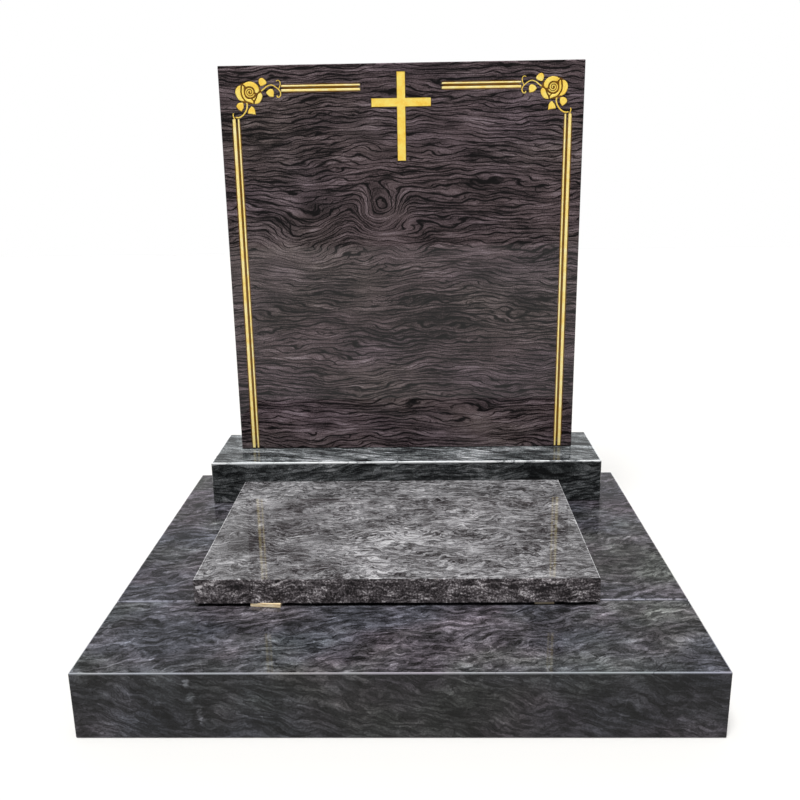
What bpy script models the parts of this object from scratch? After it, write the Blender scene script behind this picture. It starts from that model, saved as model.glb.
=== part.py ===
"""Cross headstone of polished dark granite.

An upright headstone with an engraved cross, a double frame line and a rose spray in each top
corner stands on a plinth. The plinth stands at the back of a base of two slabs, and a flat tablet
lies on the base in front of it, lifted on packing slips.

Metres, +Z up, the front towards -Y. The origin is at the bottom centre of the whole memorial.
"""

import math

import bmesh
import bpy
from mathutils import Matrix

# Base of two slabs
BASE_WIDTH = 0.900
BASE_HEIGHT = 0.102
FRONT_SLAB_DEPTH = 0.201
REAR_SLAB_DEPTH = 0.577
SLAB_JOINT = 0.002

# Plinth
PLINTH_WIDTH = 0.780
PLINTH_DEPTH = 0.190
PLINTH_HEIGHT = 0.086
PLINTH_OVERHANG = 0.023
PLINTH_SHIFT = 0.003

# Headstone, placed on the plinth
HEADSTONE_WIDTH = 0.688
HEADSTONE_HEIGHT = 0.756
HEADSTONE_THICKNESS = 0.080
HEADSTONE_SETBACK = 0.090

# Tablet and the packing slips under it
TABLET_WIDTH = 0.628
TABLET_DEPTH = 0.429
TABLET_THICKNESS = 0.040
TABLET_SHIFT = -0.006
TABLET_LIFT = 0.007
TABLET_CLEARANCE = 0.001
SLIP_WIDTH = 0.048
SLIP_DEPTH = 0.026
NARROW_SLIP_WIDTH = 0.030
LEFT_SLIP_INSET = 0.112
RIGHT_SLIP_INSET = 0.084
SLIP_TURN = math.radians(-5.6)
SLIP_PROUD = 0.001
SLIP_SETBACK = 0.006

# Bed gap between a stone and what it stands on
BED = 0.0003

# Ground and polished edges
ARRIS = 0.0020
PLINTH_ARRIS = 0.0030
HEADSTONE_ARRIS = 0.0015
SLIP_ARRIS = 0.0005

# Engraved cross
CROSS_HEIGHT = 0.163
CROSS_SPAN = 0.114
CROSS_BAR = 0.0172
CROSS_TOP_INSET = 0.0145
CROSS_ARM_DROP = 0.0470
CROSS_DEPTH = 0.0030

# Engraved frame: a wide and a thin line down each side, and two short runs at the top
WIDE_LINE = 0.0074
WIDE_LINE_INSET = 0.0256
THIN_LINE = 0.0050
THIN_LINE_INSET = 0.0342
SIDE_LINE_START = 0.0950
UPPER_RUN = 0.0046
UPPER_RUN_INSET = 0.0375
LOWER_RUN = 0.0060
LOWER_RUN_INSET = 0.0455
RUN_TO_CROSS = 0.0190
RUN_TO_ROSE = 0.0590
LINE_DEPTH = 0.0025
LINE_FOOT = 0.0010

# Rose spray: its heart's place in the corner, its size and its depths
ROSE_SIDE_INSET = 0.0585
ROSE_TOP_INSET = 0.0475
ROSE_RADIUS = 0.028
PETAL_DEPTH = 0.0025
STEM_SINK = 0.0004

# The petals and leaves, as outlines in shares of the rose's radius from its heart. The first value
# runs towards the middle of the stone and the second one up, and a third marks a sharp corner.
PETALS = {
    "outer_side": [
        (-0.565, 0.475, 1), (-0.80, 0.40), (-0.99, 0.10), (-0.93, -0.27), (-0.70, -0.55),
        (-0.33, -0.60, 1), (-0.52, -0.33), (-0.605, -0.04), (-0.585, 0.22),
    ],
    "inner_side": [
        (-0.525, 0.49, 1), (-0.55, 0.20), (-0.57, -0.05), (-0.485, -0.32), (-0.28, -0.585),
        (-0.03, -0.68), (0.225, -0.79, 1), (0.235, -0.62), (0.09, -0.445), (-0.15, -0.405),
        (-0.32, -0.25), (-0.375, 0.0), (-0.36, 0.22), (-0.36, 0.38, 1),
    ],
    "upper": [
        (-0.48, 0.52, 1), (-0.23, 0.655), (0.10, 0.70), (0.43, 0.565), (0.62, 0.33),
        (0.665, 0.06, 1), (0.505, -0.105, 1), (0.345, -0.05), (0.305, 0.12), (0.19, 0.28),
        (-0.04, 0.345), (-0.25, 0.31), (-0.325, 0.38, 1),
    ],
    "lower_inside": [
        (0.485, -0.14, 1), (0.40, -0.35), (0.27, -0.585, 1), (0.14, -0.44), (0.28, -0.345), (0.41, -0.235),
    ],
    "lower_outside": [
        (0.71, -0.01, 1), (0.855, -0.17), (0.80, -0.48), (0.59, -0.73), (0.26, -0.80, 1),
        (0.305, -0.61), (0.435, -0.36), (0.54, -0.12),
    ],
}
LEAVES = {
    "upper": [
        (0.73, 0.34, 1), (0.62, 0.57), (0.66, 0.83), (0.84, 0.92), (1.06, 0.80), (1.185, 0.565),
        (0.985, 0.40),
    ],
    "inner": [
        (1.06, -0.065, 1), (1.27, 0.16), (1.51, 0.20), (1.64, 0.04), (1.615, -0.355, 1), (1.305, -0.31),
    ],
    "outer_low": [
        (-0.46, -0.655, 1), (-0.68, -0.63), (-0.885, -0.715), (-0.975, -0.92), (-0.825, -1.13),
        (-0.62, -1.265, 1), (-0.45, -0.98),
    ],
    "inner_low": [
        (0.065, -0.86, 1), (0.245, -1.00), (0.35, -1.485, 1), (0.04, -1.43), (-0.245, -1.385, 1),
        (-0.155, -1.115),
    ],
}
# The stems, as routes with their width, in the same shares
STEMS = {
    "sepal": ([(0.785, 0.06), (0.94, 0.18), (1.16, 0.35)], 0.115),
    "upper_tendril": (
        [(1.16, 0.35), (1.435, 0.44), (1.67, 0.36), (1.90, 0.19), (2.05, 0.02), (2.09, -0.17),
         (2.01, -0.32), (1.885, -0.35), (1.82, -0.23)], 0.095),
    "upper_curl": ([(1.95, 0.13), (2.07, 0.40), (2.07, 0.62), (1.96, 0.72), (1.82, 0.68)], 0.075),
    "lower_stem": (
        [(-0.265, -0.675), (-0.22, -0.845), (-0.28, -1.115), (-0.455, -1.38), (-0.67, -1.56),
         (-0.88, -1.625), (-1.07, -1.60)], 0.125),
    "lower_curl": ([(-1.14, -1.71), (-1.22, -1.485), (-1.18, -1.335)], 0.09),
}
# The rose's heart is one spiral stroke, its reach and its width in the same shares
HEART_TURNS = 2.1
HEART_START = math.radians(-60)
HEART_INNER_SHARE = 0.045
HEART_OUTER_SHARE = 0.325
HEART_STROKE_SHARE = 0.106
HEART_TIGHTENING = 0.9

# How finely the outlines and routes are drawn, in steps from one point to the next
OUTLINE_STEPS = 3
ROUTE_STEPS = 3
HEART_STEPS_PER_TURN = 18

# Places that follow from the sizes
BASE_DEPTH = FRONT_SLAB_DEPTH + SLAB_JOINT + REAR_SLAB_DEPTH
TOTAL_DEPTH = BASE_DEPTH + PLINTH_OVERHANG
BASE_FRONT = -TOTAL_DEPTH / 2
PLINTH_BACK = BASE_FRONT + TOTAL_DEPTH
PLINTH_FRONT = PLINTH_BACK - PLINTH_DEPTH
PLINTH_BOTTOM = BASE_HEIGHT + BED
PLINTH_TOP = BASE_HEIGHT + PLINTH_HEIGHT
HEADSTONE_FRONT = PLINTH_FRONT + HEADSTONE_SETBACK
HEADSTONE_BOTTOM = PLINTH_TOP + BED
HEADSTONE_TOP = PLINTH_TOP + HEADSTONE_HEIGHT
HEADSTONE_SIDE = HEADSTONE_WIDTH / 2
TABLET_BACK = PLINTH_FRONT - TABLET_CLEARANCE
TABLET_FRONT = TABLET_BACK - TABLET_DEPTH
TABLET_BOTTOM = BASE_HEIGHT + TABLET_LIFT


def clear_scene():
    for thing in list(bpy.data.objects):
        bpy.data.objects.remove(thing, do_unlink=True)


def new_collection(name):
    collection = bpy.data.collections.new(name)
    bpy.context.scene.collection.children.link(collection)
    return collection


def stone(name, colour, roughness, metallic=0.0):
    material = bpy.data.materials.new(name)
    material.use_nodes = True
    shader = material.node_tree.nodes["Principled BSDF"]
    shader.inputs["Base Color"].default_value = (*colour, 1.0)
    shader.inputs["Roughness"].default_value = roughness
    shader.inputs["Metallic"].default_value = metallic
    return material


def block(name, size, centre, arris, material, collection, turn=0.0):
    """A sawn block with all its edges ground to a small round arris."""
    mesh = bpy.data.meshes.new(name)
    shape = bmesh.new()
    bmesh.ops.create_cube(shape, size=1.0, matrix=Matrix.Diagonal((*size, 1.0)))
    shape.to_mesh(mesh)
    shape.free()
    thing = bpy.data.objects.new(name, mesh)
    collection.objects.link(thing)
    thing.location = centre
    thing.rotation_euler.z = turn
    mesh.materials.append(material)
    edges = thing.modifiers.new("arris", "BEVEL")
    edges.width = arris
    edges.segments = 2
    edges.limit_method = "ANGLE"
    return thing


def cutter_block(name, low, high, collection):
    """A sharp-edged block between two opposite corners."""
    size = [top - bottom for bottom, top in zip(low, high)]
    centre = [(top + bottom) / 2 for bottom, top in zip(low, high)]
    mesh = bpy.data.meshes.new(name)
    shape = bmesh.new()
    bmesh.ops.create_cube(shape, size=1.0, matrix=Matrix.Diagonal((*size, 1.0)))
    shape.to_mesh(mesh)
    shape.free()
    thing = bpy.data.objects.new(name, mesh)
    collection.objects.link(thing)
    thing.location = centre
    return as_cutter(thing)


def as_cutter(thing):
    thing.hide_render = True
    thing.display_type = "WIRE"
    return thing


def mesh_from_curve(curve, collection):
    """The curve's solid as a mesh object with its caps welded. The curve itself goes."""
    bpy.context.view_layer.update()
    graph = bpy.context.evaluated_depsgraph_get()
    mesh = bpy.data.meshes.new_from_object(curve.evaluated_get(graph))
    shape = bmesh.new()
    shape.from_mesh(mesh)
    bmesh.ops.remove_doubles(shape, verts=shape.verts, dist=1e-6)
    bmesh.ops.recalc_face_normals(shape, faces=shape.faces)
    shape.to_mesh(mesh)
    shape.free()
    name = curve.name
    place = curve.matrix_world.copy()
    bpy.data.objects.remove(curve, do_unlink=True)
    thing = bpy.data.objects.new(name, mesh)
    thing.matrix_world = place
    collection.objects.link(thing)
    return as_cutter(thing)


def outline_object(name, points):
    """A closed curve through the points, smooth but at those marked sharp, on the headstone's face."""
    data = bpy.data.curves.new(name, "CURVE")
    data.resolution_u = OUTLINE_STEPS
    spline = data.splines.new("BEZIER")
    spline.bezier_points.add(len(points) - 1)
    spline.use_cyclic_u = True
    for knot, (x, y, *sharp) in zip(spline.bezier_points, points):
        knot.co = (x, y, 0.0)
        kind = "VECTOR" if sharp else "AUTO"
        knot.handle_left_type = kind
        knot.handle_right_type = kind
    thing = bpy.data.objects.new(name, data)
    bpy.context.scene.collection.objects.link(thing)
    thing.rotation_euler.x = math.radians(90)
    thing.location.y = HEADSTONE_FRONT
    return thing


def pocket(name, outline, depth, collection):
    """A flat-bottomed pocket's cutter, from the outline on the headstone's face."""
    curve = outline_object(name, outline)
    curve.data.dimensions = "2D"
    curve.data.fill_mode = "BOTH"
    curve.data.extrude = depth
    return mesh_from_curve(curve, collection)


def stroke(name, route, width, collection):
    """A round-bottomed groove's cutter, from a route on the headstone's face and the groove's width."""
    data = bpy.data.curves.new(name, "CURVE")
    data.dimensions = "3D"
    data.bevel_depth = width / 2
    data.bevel_resolution = 2
    data.use_fill_caps = True
    spline = data.splines.new("POLY")
    spline.points.add(len(route) - 1)
    for knot, (x, y) in zip(spline.points, route):
        knot.co = (x, y, 0.0, 1.0)
    curve = bpy.data.objects.new(name, data)
    bpy.context.scene.collection.objects.link(curve)
    curve.rotation_euler.x = math.radians(90)
    curve.location.y = HEADSTONE_FRONT + STEM_SINK
    return mesh_from_curve(curve, collection)


def smooth_route(points):
    """Points along a smooth line through the given ones."""
    ends = [points[0], *points, points[-1]]
    route = []
    for before, start, end, after in zip(ends, ends[1:], ends[2:], ends[3:]):
        for step in range(ROUTE_STEPS):
            t = step / ROUTE_STEPS
            point = []
            for a, b, c, d in zip(before, start, end, after):
                bend = (2 * a - 5 * b + 4 * c - d) * t**2
                twist = (3 * b - a - 3 * c + d) * t**3
                point.append((2 * b + (c - a) * t + bend + twist) / 2)
            route.append(tuple(point))
    route.append(points[-1])
    return route


def heart_spiral():
    """The spiral stroke at the rose's heart, in shares of its radius."""
    count = round(HEART_TURNS * HEART_STEPS_PER_TURN)
    route = []
    for step in range(count + 1):
        share = step / count
        angle = HEART_START + share * HEART_TURNS * 2 * math.pi
        radius = HEART_INNER_SHARE + (HEART_OUTER_SHARE - HEART_INNER_SHARE) * share**HEART_TIGHTENING
        route.append((radius * math.cos(angle), radius * math.sin(angle)))
    return route


def carve_rose_spray(side, collection):
    """One corner's rose, leaves and stems. Side is -1 on the left and 1 on the right."""
    heart_x = PLINTH_SHIFT + side * (HEADSTONE_SIDE - ROSE_SIDE_INSET)
    heart_z = HEADSTONE_TOP - ROSE_TOP_INSET
    where = "left" if side < 0 else "right"

    def place(points):
        return [
            (heart_x - side * a * ROSE_RADIUS, heart_z + b * ROSE_RADIUS, *sharp)
            for a, b, *sharp in points
        ]

    for name, outline in PETALS.items():
        pocket(f"petal_{name}_{where}", place(outline), PETAL_DEPTH, collection)
    for name, outline in LEAVES.items():
        pocket(f"leaf_{name}_{where}", place(outline), PETAL_DEPTH, collection)
    for name, (points, width) in STEMS.items():
        stroke(f"stem_{name}_{where}", place(smooth_route(points)), width * ROSE_RADIUS, collection)
    stroke(f"heart_{where}", place(heart_spiral()), HEART_STROKE_SHARE * ROSE_RADIUS, collection)


def carve_box(name, left, right, bottom, top, depth, collection):
    cutter_block(
        name,
        (left, HEADSTONE_FRONT - depth, bottom),
        (right, HEADSTONE_FRONT + depth, top),
        collection,
    )


def carve_cross(collection):
    top = HEADSTONE_TOP - CROSS_TOP_INSET
    arm_top = top - CROSS_ARM_DROP
    carve_box("cross_upright", PLINTH_SHIFT - CROSS_BAR / 2, PLINTH_SHIFT + CROSS_BAR / 2,
              top - CROSS_HEIGHT, top, CROSS_DEPTH, collection)
    carve_box("cross_arms", PLINTH_SHIFT - CROSS_SPAN / 2, PLINTH_SHIFT + CROSS_SPAN / 2,
              arm_top - CROSS_BAR, arm_top, CROSS_DEPTH, collection)


def carve_frame_lines(collection):
    foot = HEADSTONE_BOTTOM + LINE_FOOT
    head = HEADSTONE_TOP - SIDE_LINE_START
    near = CROSS_SPAN / 2 + RUN_TO_CROSS
    far = HEADSTONE_SIDE - ROSE_SIDE_INSET - RUN_TO_ROSE
    for side in (-1, 1):
        where = "left" if side < 0 else "right"
        side_lines = (("wide", WIDE_LINE, WIDE_LINE_INSET), ("thin", THIN_LINE, THIN_LINE_INSET))
        for kind, width, inset in side_lines:
            middle = PLINTH_SHIFT + side * (HEADSTONE_SIDE - inset)
            carve_box(f"side_line_{kind}_{where}", middle - width / 2, middle + width / 2, foot, head,
                      LINE_DEPTH, collection)
        ends = sorted((PLINTH_SHIFT + side * near, PLINTH_SHIFT + side * far))
        top_runs = (("upper", UPPER_RUN, UPPER_RUN_INSET), ("lower", LOWER_RUN, LOWER_RUN_INSET))
        for kind, width, inset in top_runs:
            middle = HEADSTONE_TOP - inset
            carve_box(f"top_run_{kind}_{where}", *ends, middle - width / 2, middle + width / 2,
                      LINE_DEPTH, collection)


def make_base(granite, collection):
    front_centre = BASE_FRONT + FRONT_SLAB_DEPTH / 2
    rear_centre = BASE_FRONT + FRONT_SLAB_DEPTH + SLAB_JOINT + REAR_SLAB_DEPTH / 2
    block("base_front_slab", (BASE_WIDTH, FRONT_SLAB_DEPTH, BASE_HEIGHT),
          (0, front_centre, BASE_HEIGHT / 2), ARRIS, granite, collection)
    block("base_rear_slab", (BASE_WIDTH, REAR_SLAB_DEPTH, BASE_HEIGHT),
          (0, rear_centre, BASE_HEIGHT / 2), ARRIS, granite, collection)


def make_plinth(granite, collection):
    height = PLINTH_TOP - PLINTH_BOTTOM
    block("plinth", (PLINTH_WIDTH, PLINTH_DEPTH, height),
          (PLINTH_SHIFT, PLINTH_FRONT + PLINTH_DEPTH / 2, PLINTH_BOTTOM + height / 2),
          PLINTH_ARRIS, granite, collection)


def make_headstone(granite, collection, cutters):
    height = HEADSTONE_TOP - HEADSTONE_BOTTOM
    headstone = block(
        "headstone", (HEADSTONE_WIDTH, HEADSTONE_THICKNESS, height),
        (PLINTH_SHIFT, HEADSTONE_FRONT + HEADSTONE_THICKNESS / 2, HEADSTONE_BOTTOM + height / 2),
        HEADSTONE_ARRIS, granite, collection,
    )
    carve_cross(cutters)
    carve_frame_lines(cutters)
    for side in (-1, 1):
        carve_rose_spray(side, cutters)
    engraving = headstone.modifiers.new("engraving", "BOOLEAN")
    engraving.operation = "DIFFERENCE"
    engraving.operand_type = "COLLECTION"
    engraving.collection = cutters
    engraving.solver = "EXACT"


def make_tablet(granite, collection):
    block("tablet", (TABLET_WIDTH, TABLET_DEPTH, TABLET_THICKNESS),
          (TABLET_SHIFT, TABLET_FRONT + TABLET_DEPTH / 2, TABLET_BOTTOM + TABLET_THICKNESS / 2),
          ARRIS, granite, collection)


def make_packing_slips(wood, collection):
    """Four thin slips between the base and the tablet: two show at the front, two lie at the back."""
    height = TABLET_LIFT - 2 * BED
    middle = BASE_HEIGHT + TABLET_LIFT / 2
    left = TABLET_SHIFT - TABLET_WIDTH / 2 + LEFT_SLIP_INSET
    right = TABLET_SHIFT + TABLET_WIDTH / 2 - RIGHT_SLIP_INSET
    front = TABLET_FRONT + SLIP_DEPTH / 2
    back = TABLET_BACK - SLIP_SETBACK - SLIP_DEPTH / 2
    for name, x, y, width, turn in (
        ("packing_slip_front_left", left, front - SLIP_PROUD, SLIP_WIDTH, SLIP_TURN),
        ("packing_slip_front_right", right, front + SLIP_SETBACK, NARROW_SLIP_WIDTH, 0.0),
        ("packing_slip_back_left", left, back, SLIP_WIDTH, 0.0),
        ("packing_slip_back_right", right, back, NARROW_SLIP_WIDTH, 0.0),
    ):
        block(name, (width, SLIP_DEPTH, height), (x, y, middle), SLIP_ARRIS, wood, collection, turn)


def main():
    clear_scene()
    memorial = new_collection("cross_headstone")
    cutters = new_collection("engraving_cutters")
    dark_granite = stone("polished_dark_granite", (0.050, 0.047, 0.050), 0.08)
    grey_granite = stone("polished_grey_granite", (0.110, 0.105, 0.110), 0.12)
    wood = stone("pale_softwood", (0.720, 0.610, 0.420), 0.65)
    make_base(dark_granite, memorial)
    make_plinth(dark_granite, memorial)
    make_headstone(dark_granite, memorial, cutters)
    make_tablet(grey_granite, memorial)
    make_packing_slips(wood, memorial)


main()
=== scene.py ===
"""Looks of the cross headstone: polished figured granite, gilded engraving, a tablet with a sawn
edge, and the packing slips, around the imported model. Metres, +Z up, the front towards -Y.
"""

import math

import bmesh
import bpy
from mathutils import Matrix, Vector, noise
from mathutils.geometry import delaunay_2d_cdt, intersect_point_line


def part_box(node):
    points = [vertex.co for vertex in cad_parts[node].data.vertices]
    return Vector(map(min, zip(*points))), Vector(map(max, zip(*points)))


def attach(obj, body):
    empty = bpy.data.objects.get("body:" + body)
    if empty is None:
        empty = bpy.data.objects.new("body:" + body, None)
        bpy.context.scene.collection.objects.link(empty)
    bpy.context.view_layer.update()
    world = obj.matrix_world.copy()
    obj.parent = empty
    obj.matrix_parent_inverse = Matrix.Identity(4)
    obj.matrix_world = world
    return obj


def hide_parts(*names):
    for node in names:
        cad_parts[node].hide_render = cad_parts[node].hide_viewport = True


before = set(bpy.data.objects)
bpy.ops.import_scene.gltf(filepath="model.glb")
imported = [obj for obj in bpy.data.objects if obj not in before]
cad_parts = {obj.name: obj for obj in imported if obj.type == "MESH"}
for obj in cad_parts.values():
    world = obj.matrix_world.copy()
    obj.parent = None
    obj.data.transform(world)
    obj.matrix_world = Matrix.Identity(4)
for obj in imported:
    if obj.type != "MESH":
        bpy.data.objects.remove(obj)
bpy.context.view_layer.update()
MM = 0.001

# Camera, worked out from the corners of the stones in the photograph
CAMERA_PLACE = (0.0357, -1.4530, 0.7741)
CAMERA_YAW = math.radians(1.426)
CAMERA_PITCH = math.radians(-15.384)
CAMERA_ROLL = math.radians(0.910)
SENSOR = 36.0
LENS = 39.73

# Engraving: the same sizes as the headstone's solid, in metres
CROSS_HEIGHT = 0.163
CROSS_SPAN = 0.114
CROSS_BAR = 0.0172
CROSS_TOP_INSET = 0.0145
CROSS_ARM_DROP = 0.0470
CROSS_DEPTH = 0.0030
WIDE_LINE = 0.0074
WIDE_LINE_INSET = 0.0256
THIN_LINE = 0.0050
THIN_LINE_INSET = 0.0342
SIDE_LINE_START = 0.0950
UPPER_RUN = 0.0046
UPPER_RUN_INSET = 0.0375
LOWER_RUN = 0.0060
LOWER_RUN_INSET = 0.0455
RUN_TO_CROSS = 0.0190
RUN_TO_ROSE = 0.0590
LINE_DEPTH = 0.0025
LINE_FOOT = 0.0010
ROSE_SIDE_INSET = 0.0585
ROSE_TOP_INSET = 0.0475
ROSE_RADIUS = 0.028
PETAL_DEPTH = 0.0025
# The rose's petals and leaves: outlines round its heart, outwards and upwards in shares of its radius. A
# third value marks a sharp corner.
PETALS = {
    "outer_side": [
        (-0.565, 0.475, 1), (-0.80, 0.40), (-0.99, 0.10), (-0.93, -0.27), (-0.70, -0.55),
        (-0.33, -0.60, 1), (-0.52, -0.33), (-0.605, -0.04), (-0.585, 0.22),
    ],
    "inner_side": [
        (-0.525, 0.49, 1), (-0.55, 0.20), (-0.57, -0.05), (-0.485, -0.32), (-0.28, -0.585),
        (-0.03, -0.68), (0.225, -0.79, 1), (0.235, -0.62), (0.09, -0.445), (-0.15, -0.405),
        (-0.32, -0.25), (-0.375, 0.0), (-0.36, 0.22), (-0.36, 0.38, 1),
    ],
    "upper": [
        (-0.48, 0.52, 1), (-0.23, 0.655), (0.10, 0.70), (0.43, 0.565), (0.62, 0.33),
        (0.665, 0.06, 1), (0.505, -0.105, 1), (0.345, -0.05), (0.305, 0.12), (0.19, 0.28),
        (-0.04, 0.345), (-0.25, 0.31), (-0.325, 0.38, 1),
    ],
    "lower_inside": [
        (0.485, -0.14, 1), (0.40, -0.35), (0.27, -0.585, 1), (0.14, -0.44), (0.28, -0.345), (0.41, -0.235),
    ],
    "lower_outside": [
        (0.71, -0.01, 1), (0.855, -0.17), (0.80, -0.48), (0.59, -0.73), (0.26, -0.80, 1),
        (0.305, -0.61), (0.435, -0.36), (0.54, -0.12),
    ],
}
LEAVES = {
    "upper": [
        (0.73, 0.34, 1), (0.62, 0.57), (0.66, 0.83), (0.84, 0.92), (1.06, 0.80), (1.185, 0.565),
        (0.985, 0.40),
    ],
    "inner": [
        (1.06, -0.065, 1), (1.27, 0.16), (1.51, 0.20), (1.64, 0.04), (1.615, -0.355, 1), (1.305, -0.31),
    ],
    "outer_low": [
        (-0.46, -0.655, 1), (-0.68, -0.63), (-0.885, -0.715), (-0.975, -0.92), (-0.825, -1.13),
        (-0.62, -1.265, 1), (-0.45, -0.98),
    ],
    "inner_low": [
        (0.065, -0.86, 1), (0.245, -1.00), (0.35, -1.485, 1), (0.04, -1.43), (-0.245, -1.385, 1),
        (-0.155, -1.115),
    ],
}
# The stems, as routes with their width, in the same shares
STEMS = {
    "sepal": ([(0.785, 0.06), (0.94, 0.18), (1.16, 0.35)], 0.115),
    "upper_tendril": (
        [(1.16, 0.35), (1.435, 0.44), (1.67, 0.36), (1.90, 0.19), (2.05, 0.02), (2.09, -0.17),
         (2.01, -0.32), (1.885, -0.35), (1.82, -0.23)], 0.095),
    "upper_curl": ([(1.95, 0.13), (2.07, 0.40), (2.07, 0.62), (1.96, 0.72), (1.82, 0.68)], 0.075),
    "lower_stem": (
        [(-0.265, -0.675), (-0.22, -0.845), (-0.28, -1.115), (-0.455, -1.38), (-0.67, -1.56),
         (-0.88, -1.625), (-1.07, -1.60)], 0.125),
    "lower_curl": ([(-1.14, -1.71), (-1.22, -1.485), (-1.18, -1.335)], 0.09),
}
# The rose's heart is one spiral stroke, its reach and its width in the same shares
HEART_TURNS = 2.1
HEART_START = math.radians(-60)
HEART_INNER_SHARE = 0.045
HEART_OUTER_SHARE = 0.325
HEART_STROKE_SHARE = 0.106
HEART_TIGHTENING = 0.9

# Where the stones are
HEADSTONE_LOW, HEADSTONE_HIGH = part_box("headstone")
TABLET_LOW, TABLET_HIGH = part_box("tablet")
FACE = HEADSTONE_LOW.y
TOP = HEADSTONE_HIGH.z
BASE_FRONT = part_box("base_front_slab")[0].y
MIDDLE = (HEADSTONE_LOW.x + HEADSTONE_HIGH.x) / 2
HALF = (HEADSTONE_HIGH.x - HEADSTONE_LOW.x) / 2

# Gilding in the engraving: the slot left at the walls, the lift off the recess's floor, and each step's
# inset and rise
CROSS_SLOT = 0.0005
LINE_SLOT = 0.0002
FIELD_LIFT = 0.0002
CROSS_STEPS = ((0.0008, 0.0022), (0.0012, -0.0004))
LINE_STEPS = ((0.0008, 0.0017), (0.0006, 0.0004))
# Gilded petals and leaves: the lift off the floor, the crown, and the pitch of the points that shape it
PETAL_LIFT = 0.0001
PETAL_CROWN = 0.0023
PETAL_ROUND_OVER = 0.0020
PETAL_PITCH = 0.0009
PETAL_ROW_SHARE = 0.87
PETAL_CLEAR_SHARE = 0.4
MERGE_REACH = 1e-7
# Gilded strokes: a stem or the heart's spiral, nearly flush with the face
STROKE_SIDES = 6
STROKE_SINK = 0.0002
STROKE_MARGIN = 0.0001
STROKE_FULLNESS = 0.6
STROKE_HEIGHT_SHARE = 0.8
STEPS_PER_SPAN = 8
SPIRAL_STEPS_PER_TURN = 36
# Painted shade round the gilding, brown for gold paint in the shade of the groove walls: how far past the
# lines and how deep into the stone it shows, and the oval that holds the rose's petals, as shares of the
# rose's radius
GILT_SHADE_COLOUR = "#7C5206"
GILT_SHADE_SHARE = 0.85
GILT_SHADE_MARGIN = 0.0012
GILT_SHADE_DEPTH = 0.006
GILT_SHADE_EDGE = 0.9
OVAL_SIDE_SHARE = 0.06
OVAL_DROP_SHARE = 0.05
OVAL_WIDTH_SHARE = 0.90
OVAL_HEIGHT_SHARE = 0.74

# The tablet's sawn front edge: its cells, how deep the saw marks and the chips go, and the uneven foot
TABLET_ARRIS = 0.002
ARRIS_STEPS = 2
FRONT_STRIP = 0.004
FRONT_CELL = 0.002
SAWN_DEPTH = 0.0010
SAWN_PATCH_MM = 12
SAWN_FRACTAL = (0.8, 2.0, 4)
SAWN_FACE_REACH = 0.0015
CHIP_DEPTH = 0.0016
CHIP_DROP_SHARE = 0.6
CHIP_LENGTH_MM = 9
CHIP_FRACTAL = (0.9, 2.0, 3)
CHIP_SEED = 3.0
FOOT_WAVE = 0.0007
FOOT_DROP = 0.0004
FOOT_WAVE_MM = 16
FOOT_SEED = 5.0
ON_PLANE = 1e-5
LEVEL = 0.9

# Figured granite: what all the stones have in common. Where the lines fade, how far they stray, and how
# thin and thick they get
PUSH_SEED = 3.7
FADE_SHARE = 0.35
STRAY_SPACINGS = 3.0
THINNEST = 0.15
THICKEST = 2.0
VEIN_FADE = (0.42, 0.60)
FAINT_VEIN = 0.1
STREAK_RUN = (0.11, 0.07, 0.0)
STREAK_SHARE = 1.4
TONE_REACH = 0.16
PALE_VEIN_PLACE = (5.1, 2.2, 7.3)
PALE_VEIN_FADE = (0.44, 0.56)
MARK_BREAK = -2.5
MARK_EDGE = (-0.9, -0.2)
TINT_PLACE = (2.3, 0.9)
TINT_STEP = 1.7
TINT_EDGE = (0.46, 0.64)
# Painted highlight on the arrises: an arris leans up at about 45 degrees, so its normal's height is near this
ARRIS_HEIGHT = 0.65
ARRIS_REACH = (0.29, 0.32)
# Painted light on the tops: from this height of the normal up, faces are painted lighter
TOP_LIGHT_FROM = 0.6
POLISH_RANGE = (0.75, 1.4)
POLISH_GRAINS = (0.3, 0.7)
GRANITE_IOR = 1.54

# Studio: floor, the sky's strengths from behind the camera to behind the stones and from low to high, and
# the two soft suns as rise and round in degrees, spread in degrees, and strength
FLOOR_SIZE = 6.0
FLOOR_COLOUR = "#D5D4D2"
SKY_ROUND = ((-0.3, 0.5), (0.30, 1.0))
SKY_UP = ((0.20, 0.42), (1.0, 0.35))
SUNS = {"overhead": (84, 0, 30, 0.9), "front": (67, -14, 26, 3.7)}
SUN_DISTANCE = 3.0
FAR_CLIP = 50.0

# The headstone: polished granite, nearly black with a purplish cast. The eye sees thin black lines that
# wave across it, close round an eye under the cross, and fade into a mottled ground.
HEADSTONE_GRANITE = dict(
    stops=[(0.0, "#0D0A0B"), (0.22, "#2A2324"), (0.45, "#4C4042"), (0.65, "#66585B"), (0.85, "#82757A"),
           (1.0, "#9C9194")],
    lean=0.6, lines=((9.0, 0.13, 1.0), (5.2, 0.12, 0.65)), line_gaps=(0.25, 0.60), line_dark=0.68,
    eyes=(((-0.040, 0.30, 0.665), 75, 60), ((0.020, 0.30, 0.612), 60, 24), ((-0.185, 0.30, 0.625), 110, 35)),
    veins=(8.0, 0.4, 0.02), flecks=(6.0, 0.06, 0.10), fleck_length=(0.15, 0.1), patch_mm=110,
    ground=(0.18, 0.50, 0.32), contrast=1.05, tint=(("#48443C", 150, 0.3), ("#4A4047", 110, 0.4)),
    marks=(((0.0, FACE, 0.47), (330, 90, 95), -0.13), ((0.0, FACE, 0.24), (330, 90, 50), 0.07)), arris=0.3)
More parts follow.
